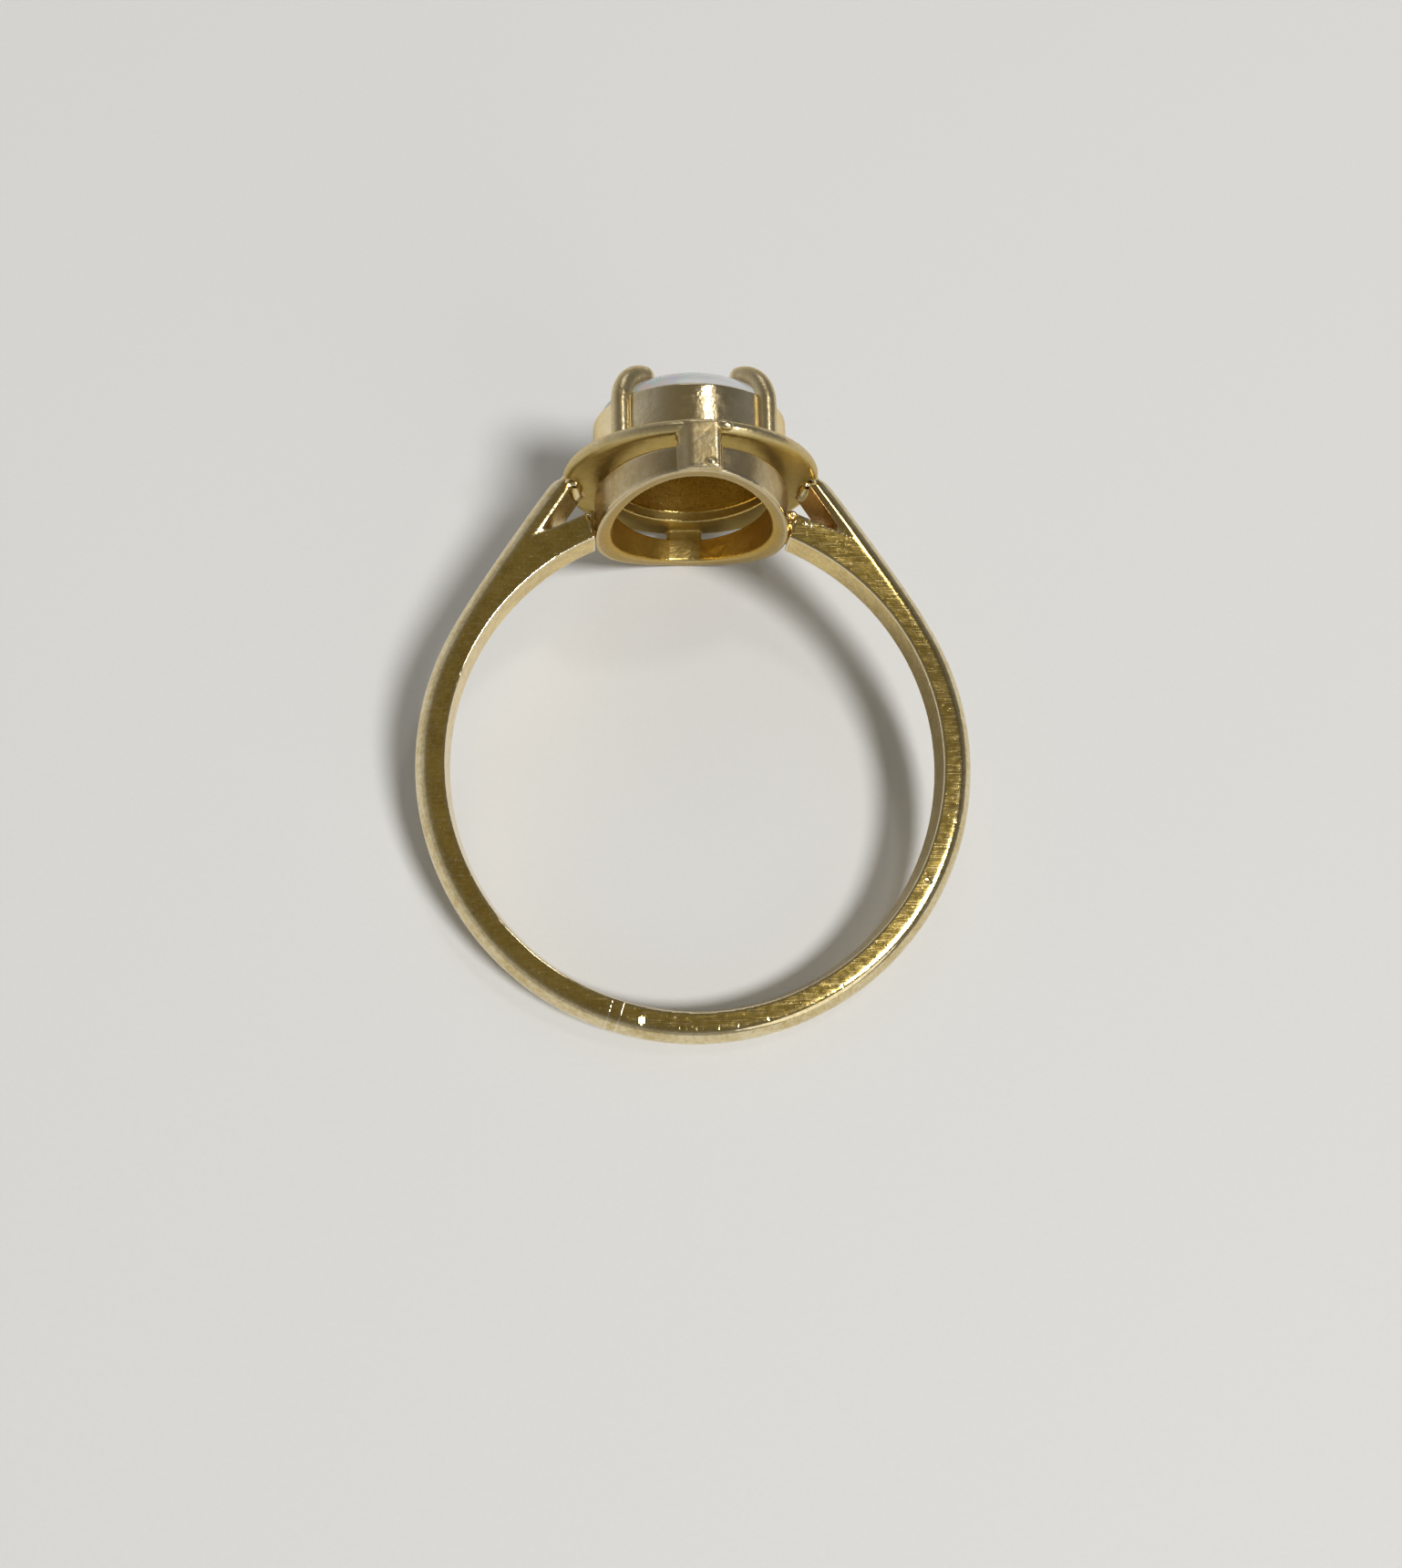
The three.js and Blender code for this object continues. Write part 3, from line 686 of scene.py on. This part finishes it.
class Nodes:
    """A short way to write a material's node tree."""

    def __init__(self, name):
        self.material = bpy.data.materials.new(name)
        self.material.use_nodes = True
        self.tree = self.material.node_tree
        self.shader = self.tree.nodes["Principled BSDF"]

    def add(self, kind, settings=None, **inputs):
        node = self.tree.nodes.new("ShaderNode" + kind)
        for key, value in (settings or {}).items():
            setattr(node, key, value)
        for key, value in inputs.items():
            self.put(node.inputs[key], value)
        return node

    def put(self, socket, value):
        if isinstance(value, bpy.types.NodeSocket):
            self.tree.links.new(value, socket)
        else:
            socket.default_value = value

    def math(self, operation, a, b=0.0, clamp=False):
        node = self.tree.nodes.new("ShaderNodeMath")
        node.operation = operation
        node.use_clamp = clamp
        self.put(node.inputs[0], a)
        self.put(node.inputs[1], b)
        return node.outputs[0]

    def ramp(self, value, low, high, start=0.0, end=1.0):
        node = self.add("MapRange", {"clamp": True}, Value=value)
        self.put(node.inputs["From Min"], low)
        self.put(node.inputs["From Max"], high)
        self.put(node.inputs["To Min"], start)
        self.put(node.inputs["To Max"], end)
        return node.outputs[0]

    def mix(self, amount, a, b):
        """Mixes two colours: a Mix node's colour sockets are inputs 6 and 7 and output 2."""
        node = self.add("Mix", {"data_type": "RGBA"})
        self.put(node.inputs[0], amount)
        self.put(node.inputs[6], a)
        self.put(node.inputs[7], b)
        return node.outputs[2]

    def tint(self, colour, where, strength, shade):
        """A colour mixed with a shade where a pattern is high."""
        return self.mix(self.math("MULTIPLY", where, strength), colour, shade)

    def felt(self, label):
        """A value stored at the mesh's points."""
        return self.add("Attribute", {"attribute_name": label}).outputs["Fac"]

    def place(self, stretch=(1, 1, 1), turn=(0, 0, 0)):
        """Coordinates in the object's own space, in millimetres."""
        coordinates = self.add("TexCoord").outputs["Object"]
        mapping = self.add("Mapping", Vector=coordinates)
        mapping.inputs["Scale"].default_value = [s / MM for s in stretch]
        mapping.inputs["Rotation"].default_value = turn
        return mapping.outputs[0]

    def noise(self, where, scale, detail=2.0, roughness=0.5, warp=0.0):
        node = self.add("TexNoise", Vector=where, Scale=scale, Detail=detail)
        node.inputs["Roughness"].default_value = roughness
        node.inputs["Distortion"].default_value = warp
        return node.outputs["Fac"]

    def bump(self, height, strength, depth, after=None):
        node = self.add("Bump", Height=height, Strength=strength)
        node.inputs["Distance"].default_value = depth * MM
        if after is not None:
            self.put(node.inputs["Normal"], after)
        return node.outputs[0]


def scratches(nodes, turn, length, width, amount):
    """Thin straight marks along one direction."""
    where = nodes.place((1 / length, 1 / width, 1 / length), (0, 0, turn))
    grain = nodes.noise(where, 1.0, 1.0)
    return nodes.ramp(grain, 1 - amount, 1 - amount + SCRATCH_FADE)


def crossed_scratches(nodes):
    one, two, three = (scratches(nodes, *marks) for marks in SCRATCHES)
    return nodes.math("MAXIMUM", nodes.math("MAXIMUM", one, two), three)


def gold_patterns(nodes):
    """The patterns that a gold's colour, roughness and bumps share."""
    where = nodes.place()
    return {
        "broad": nodes.noise(where, BROAD, 3.0, 0.6, 0.4),
        "mottle": nodes.noise(where, MOTTLE, 4.0, 0.6, 0.2),
        "fine": nodes.noise(where, SKIN_GRAIN, 3.0, 0.6),
        "grain": nodes.noise(where, GRAIN, 3.0, 0.65),
        # Small spots where glints are painted
        "flecks": nodes.ramp(nodes.noise(where, FLECK, 3.0, 0.7), *FLECKED),
        "marks": crossed_scratches(nodes),
        "polish": nodes.ramp(nodes.felt("edge"), *POLISHED),
        "inner": nodes.felt("inner"),
    }


def gold_colour(nodes, seen, shades, wear, cloud, marking):
    """Cleaner on edges and scratches, darker in hollows, tarnished in patches and pits, with painted
    glints, painted shade and a painted darker reflection on flat faces.
    """
    hollow = nodes.ramp(nodes.felt("edge"), *HOLLOW)
    mottle = nodes.math("MULTIPLY", seen["mottle"], MOTTLE_SHARE)
    patches = nodes.ramp(nodes.math("ADD", seen["broad"], mottle), *CLOUDED)
    pits = nodes.ramp(seen["grain"], *PITTED)
    speckle = nodes.ramp(seen["grain"], *SPECKLED, 0.0, SPECKLE_STRENGTH)
    # Painted darker reflection on faces along the finger axis and inside the hoop
    colour = nodes.mix(nodes.felt("flat"), shades["body"], shades["dirty"])
    colour = nodes.tint(colour, patches, cloud, shades["deep"])
    colour = nodes.tint(colour, hollow, TARNISH, shades["deep"])
    colour = nodes.tint(colour, seen["polish"], wear, shades["worn"])
    # Paler where scratched and speckled, and painted glints on small spots
    for pattern in (seen["marks"], seen["flecks"], speckle):
        colour = nodes.tint(colour, pattern, marking, shades["worn"])
    colour = nodes.tint(colour, pits, PIT_TARNISH, shades["deep"])
    # Painted shade, in an amber colour, in the gallery's inside, undersides and the right fork's wall
    return nodes.tint(colour, seen["inner"], TARNISH, shades["amber"])


def gold_roughness(nodes, seen, roughness, marking):
    """Rougher where it is mottled, scratched or shaded, and smoother on edges."""
    amounts = {
        "marks": MARK_ROUGHNESS * marking,
        "flecks": FLECK_ROUGHNESS * marking,
        "inner": SHADE_ROUGHNESS,
    }
    mottle = nodes.math("SUBTRACT", seen["mottle"], 0.5)
    rough = nodes.math("ADD", roughness, nodes.math("MULTIPLY", mottle, MOTTLE_ROUGHNESS))
    for pattern, amount in amounts.items():
        rough = nodes.math("ADD", rough, nodes.math("MULTIPLY", seen[pattern], amount))
    smoother = nodes.math("MULTIPLY", seen["polish"], POLISH_SMOOTHNESS)
    rough = nodes.math("SUBTRACT", rough, smoother, clamp=True)
    return nodes.math("MAXIMUM", rough, LEAST_ROUGHNESS)


def gold_normal(nodes, seen, marking, waves):
    """A hand-finished skin, more uneven in the shaded parts."""
    uneven = nodes.math("ADD", waves, nodes.math("MULTIPLY", seen["inner"], SHADE_WAVES))
    normal = nodes.bump(seen["broad"], uneven, BROAD_BUMP)
    normal = nodes.bump(seen["mottle"], uneven, MOTTLE_BUMP, normal)
    normal = nodes.bump(seen["fine"], waves, SKIN_BUMP, normal)
    return nodes.bump(nodes.math("SUBTRACT", 1.0, seen["marks"]), marking, MARK_BUMP, normal)


def gold(name, roughness, wear, cloud, marking, waves, **shades):
    """Gold with darker hollows, polished edges, fine scratches, a hand-finished skin, and painted
    shade, reflection and glints.
    """
    nodes = Nodes(name)
    seen = gold_patterns(nodes)
    colour = gold_colour(nodes, seen, shades, wear, cloud, marking)
    nodes.put(nodes.shader.inputs["Base Color"], colour)
    nodes.shader.inputs["Metallic"].default_value = 1.0
    nodes.shader.inputs["Specular Tint"].default_value = shades["grazing"]
    rough = gold_roughness(nodes, seen, roughness, marking)
    nodes.put(nodes.shader.inputs["Roughness"], rough)
    nodes.put(nodes.shader.inputs["Normal"], gold_normal(nodes, seen, marking, waves))
    return nodes.material


def opal_colour(nodes, where):
    """Milky white with soft patches of pink, green and blue."""
    drift = nodes.add("TexNoise", Vector=where, Scale=0.5, Detail=2.0)
    warped = nodes.add("VectorMath", {"operation": "ADD"})
    nodes.put(warped.inputs[0], where)
    nodes.put(warped.inputs[1], drift.outputs["Color"])
    smooth = {"feature": "SMOOTH_F1"}
    cells = nodes.add("TexVoronoi", smooth, Vector=warped.outputs[0], Scale=1.6)
    cells.inputs["Smoothness"].default_value = 0.6
    play = nodes.add("SeparateColor", Color=cells.outputs["Color"])
    colour = nodes.mix(nodes.noise(where, 0.9, 3.0, 0.55, 0.3), *MILK)
    for channel, (amount, reach, shade) in zip(play.outputs, PLAY):
        colour = nodes.tint(colour, nodes.ramp(channel, *reach), amount, shade)
    return colour


def milky_opal(name):
    """A milky stone with a polished skin and painted shade at its back."""
    nodes = Nodes(name)
    where = nodes.place()
    colour = opal_colour(nodes, where)
    inner = nodes.felt("inner")
    patches = nodes.noise(nodes.place((1, 1, 1.5)), 1.1, 3.0, 0.6, 0.5)
    # Painted shade on the stone's back, where it sits down in the collar
    stained = nodes.mix(nodes.ramp(patches, 0.35, 0.65), *STAIN)
    nodes.put(nodes.shader.inputs["Base Color"], nodes.mix(inner, colour, stained))
    translucent = nodes.ramp(inner, 0.0, 0.5, 0.5, 0.0)
    nodes.put(nodes.shader.inputs["Subsurface Weight"], translucent)
    nodes.shader.inputs["Subsurface Radius"].default_value = (1.0, 0.9, 0.8)
    nodes.shader.inputs["Subsurface Scale"].default_value = 0.7 * MM
    nodes.shader.inputs["Roughness"].default_value = 0.12
    nodes.shader.inputs["IOR"].default_value = 1.45
    nodes.shader.inputs["Coat Weight"].default_value = 0.6
    nodes.shader.inputs["Coat Roughness"].default_value = 0.04
    skin_noise = nodes.noise(where, 3.0, 2.0)
    nodes.put(nodes.shader.inputs["Normal"], nodes.bump(skin_noise, 0.15, 0.01))
    return nodes.material


def paper(name):
    """A plain pale matt surface with a very faint grain."""
    nodes = Nodes(name)
    grain = nodes.noise(nodes.place(), 6.0, 4.0, 0.6)
    nodes.put(nodes.shader.inputs["Base Color"], nodes.mix(grain, *PAPER))
    nodes.shader.inputs["Roughness"].default_value = 0.7
    nodes.put(nodes.shader.inputs["Normal"], nodes.bump(grain, 0.2, 0.02))
    return nodes.material


def lamp(name, toward, distance, size, strength, colour):
    """A soft panel that shines at the ring from one direction."""
    light = bpy.data.lights.new(name, "AREA")
    light.shape = "DISK"
    light.size = size
    light.energy = strength
    light.color = colour
    thing = bpy.data.objects.new(name, light)
    direction = Vector(toward).normalized()
    thing.location = direction * distance
    thing.rotation_mode = "QUATERNION"
    thing.rotation_quaternion = direction.to_track_quat("Z", "Y")
    thing.visible_camera = False
    bpy.context.scene.collection.objects.link(thing)


def studio():
    """A pale room that is darker overhead and brighter on its left."""
    world = bpy.data.worlds.new("studio")
    world.use_nodes = True
    tree = world.node_tree
    background = tree.nodes["Background"]
    coordinates = tree.nodes.new("ShaderNodeTexCoord")
    split = tree.nodes.new("ShaderNodeSeparateXYZ")
    heights = tree.nodes.new("ShaderNodeValToRGB")
    strength = tree.nodes.new("ShaderNodeMath")
    strength.operation = "MULTIPLY_ADD"
    strength.inputs[1].default_value = ROOM_RIGHTWARD
    strength.inputs[2].default_value = ROOM_STRENGTH
    tree.links.new(coordinates.outputs["Generated"], split.inputs[0])
    tree.links.new(split.outputs["Z"], heights.inputs[0])
    tree.links.new(split.outputs["X"], strength.inputs[0])
    tree.links.new(strength.outputs[0], background.inputs["Strength"])
    tree.links.new(heights.outputs[0], background.inputs["Color"])
    stops = heights.color_ramp.elements
    stops[0].position, stops[0].color = ROOM[0]
    stops[1].position, stops[1].color = ROOM[-1]
    for position, colour in ROOM[1:-1]:
        stops.new(position).color = colour
    bpy.context.scene.world = world


def floor():
    mesh = bpy.data.meshes.new("floor")
    corners = [(x * FLOOR_HALF, y * FLOOR_HALF, 0) for x, y in ((-1, -1), (1, -1), (1, 1), (-1, 1))]
    mesh.from_pydata(corners, [], [(0, 1, 2, 3)])
    mesh.materials.append(paper("paper"))
    thing = bpy.data.objects.new("floor", mesh)
    bpy.context.scene.collection.objects.link(thing)


def camera():
    azimuth = math.radians(CAMERA_AZIMUTH)
    elevation = math.radians(CAMERA_ELEVATION)
    level = math.cos(elevation)
    away = Vector((math.sin(azimuth) * level, -math.cos(azimuth) * level, math.sin(elevation)))
    upright = (-away).to_track_quat("-Z", "Y")
    data = bpy.data.cameras.new("camera")
    data.lens = CAMERA_LENS
    data.clip_start = MM
    thing = bpy.data.objects.new("camera", data)
    thing.location = Vector(CAMERA_AIM) * MM + away * CAMERA_DISTANCE * MM
    thing.rotation_mode = "QUATERNION"
    thing.rotation_quaternion = Quaternion(away, -math.radians(CAMERA_ROLL)) @ upright
    bpy.context.scene.collection.objects.link(thing)
    bpy.context.scene.camera = thing


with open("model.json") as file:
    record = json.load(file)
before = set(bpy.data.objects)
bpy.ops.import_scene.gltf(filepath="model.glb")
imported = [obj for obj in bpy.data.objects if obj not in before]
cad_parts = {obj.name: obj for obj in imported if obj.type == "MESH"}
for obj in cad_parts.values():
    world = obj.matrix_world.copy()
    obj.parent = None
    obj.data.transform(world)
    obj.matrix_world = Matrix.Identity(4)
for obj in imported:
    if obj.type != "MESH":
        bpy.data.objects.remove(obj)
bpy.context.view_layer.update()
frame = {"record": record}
RING_TURN, RING_ORIGIN = ring_axes(frame["record"])

camera()
floor()
studio()
lamp("window", (0.5, -0.42, 1.0), LAMP_DISTANCE, 0.38, 17.2, (1.0, 0.99, 0.975))
lamp("back_window", (0.0, 1.0, 1.0), LAMP_DISTANCE, 0.7, 1.1, (1.0, 0.99, 0.98))
lamp("doorway", (0.5, -0.83, 0.35), LAMP_DISTANCE, 1.0, 2.6, (0.94, 0.96, 1.0))
lamp("ceiling", (0.295, 0.207, 0.927), CEILING_DISTANCE, 0.045, 0.09, (1.0, 0.98, 0.94))

# In each gold below, one colour paints a darker reflection on flat faces and another the shade in the
# gallery; the pale colour serves both wear and painted glints
satin = gold(
    "satin_gold",
    dirty=(0.86, 0.63, 0.16, 1),
    body=(0.82, 0.7, 0.43, 1),
    deep=(0.5, 0.34, 0.08, 1),
    amber=(0.5, 0.28, 0.08, 1),
    worn=(0.9, 0.8, 0.56, 1),
    grazing=(1, 1, 1, 1),
    roughness=0.13,
    wear=0.8,
    cloud=0.7,
    marking=0.25,
    waves=0.12,
)
bright = gold(
    "bright_gold",
    dirty=(0.74, 0.6, 0.36, 1),
    body=(0.98, 0.86, 0.6, 1),
    deep=(0.74, 0.6, 0.32, 1),
    amber=(0.66, 0.46, 0.1, 1),
    worn=(0.92, 0.83, 0.6, 1),
    grazing=(0.9, 0.78, 0.55, 1),
    roughness=0.2,
    wear=0.6,
    cloud=0.55,
    marking=0.02,
    waves=0.5,
)
soft = gold(
    "soft_gold",
    dirty=(0.7, 0.57, 0.34, 1),
    body=(0.74, 0.62, 0.39, 1),
    deep=(0.54, 0.4, 0.16, 1),
    amber=(0.5, 0.375, 0.11, 1),
    worn=(0.86, 0.76, 0.53, 1),
    grazing=(0.92, 0.82, 0.62, 1),
    roughness=0.34,
    wear=0.5,
    cloud=0.6,
    marking=0.03,
    waves=0.6,
)
# A darker copy of the gold for the rail under the plate: painted shade
khaki = gold(
    "khaki_gold",
    dirty=(0.44, 0.345, 0.19, 1),
    body=(0.6, 0.49, 0.31, 1),
    deep=(0.45, 0.33, 0.14, 1),
    amber=(0.56, 0.37, 0.07, 1),
    worn=(0.8, 0.7, 0.48, 1),
    grazing=(0.86, 0.76, 0.56, 1),
    roughness=0.3,
    wear=0.6,
    cloud=0.6,
    marking=0.02,
    waves=0.5,
)
solder = gold(
    "solder_gold",
    dirty=(0.74, 0.6, 0.3, 1),
    body=(0.8, 0.68, 0.38, 1),
    deep=(0.6, 0.42, 0.14, 1),
    amber=(0.7, 0.58, 0.3, 1),
    worn=(0.95, 0.86, 0.6, 1),
    grazing=(1, 0.9, 0.7, 1),
    roughness=0.14,
    wear=0.6,
    cloud=0.4,
    marking=0.05,
    waves=0.4,
)
stone = milky_opal("opal")

# Mirrors that turn a right or front shape into a left or back one
LEFT = (-1, 1)
BACK = (1, -1)

right_arm = skin(shank_right, (-3.6, -9.95, -0.9), (10.0, 10.6, 0.9), COARSE)
left_arm = skin(shank_left, (-10.0, -9.7, -0.9), (-2.4, 10.6, 0.9), COARSE)
insert = skin(sizing_insert, (-3.9, -9.6, -0.9), (-2.2, -7.8, 0.9), FINE)
piece("shank_right_skin", right_arm, satin, "shank_right")
piece("shank_left_skin", left_arm, satin, "shank_left")
piece("insert_skin", insert, satin, "sizing_insert")

rail_shape = skin(rail, (-3.6, 7.0, -5.15), (3.6, 9.85, 5.15), COARSE)
plate_shape = skin(plate, (-4.75, 9.85, -5.25), (4.75, 10.65, 5.25), COARSE)
collar_shape = skin(collar_on_plate, (-3.8, 10.3, -4.2), (3.8, 12.4, 4.2), COARSE)
strut_low, strut_high = (-1.3, 8.6, 4.0), (1.3, 10.6, 5.3)
strut_near = skin(strut_with_drops, strut_low, strut_high, MEDIUM)
strut_far = skin(strut, strut_low, strut_high, MEDIUM)
piece("rail_skin", rail_shape, khaki, "lower_rail")
piece("plate_skin", plate_shape, soft, "upper_plate")
piece("collar_skin", collar_shape, bright, "collar")
piece("strut_front_skin", strut_near, soft, "strut_front")
piece("strut_back_skin", strut_far, soft, "strut_back", BACK)

claw_shape = skin(claw, (1.0, 10.2, 1.3), (3.5, 13.8, 4.0), MEDIUM)
for across, x in (("left", -1), ("right", 1)):
    for along, z in (("front", 1), ("back", -1)):
        node = f"claw_{along}_{across}"
        piece(f"{node}_skin", claw_shape, soft, node, (x, z))

solder_low, solder_high = (3.0, 7.8, -0.9), (4.5, 9.3, 0.9)
lower_left = skin(solder_lower, solder_low, solder_high, FINE)
lower_right = skin(solder_lower_with_drops, solder_low, solder_high, FINE)
upper = skin(solder_upper, (3.6, 9.4, -1.1), (4.8, 10.6, 1.1), FINE)
piece("solder_lower_left_skin", lower_left, solder, "solder_lower_left", LEFT)
piece("solder_lower_right_skin", lower_right, solder, "solder_lower_right")
piece("solder_upper_left_skin", upper, solder, "solder_upper_left", LEFT)
piece("solder_upper_right_skin", upper, solder, "solder_upper_right")

stone_shape = skin(opal, (-3.6, 11.7, -4.0), (3.6, 13.65, 4.0), STONE_STEP)
piece("opal_skin", stone_shape, stone, "opal")

bpy.context.scene.view_settings.view_transform = "Standard"
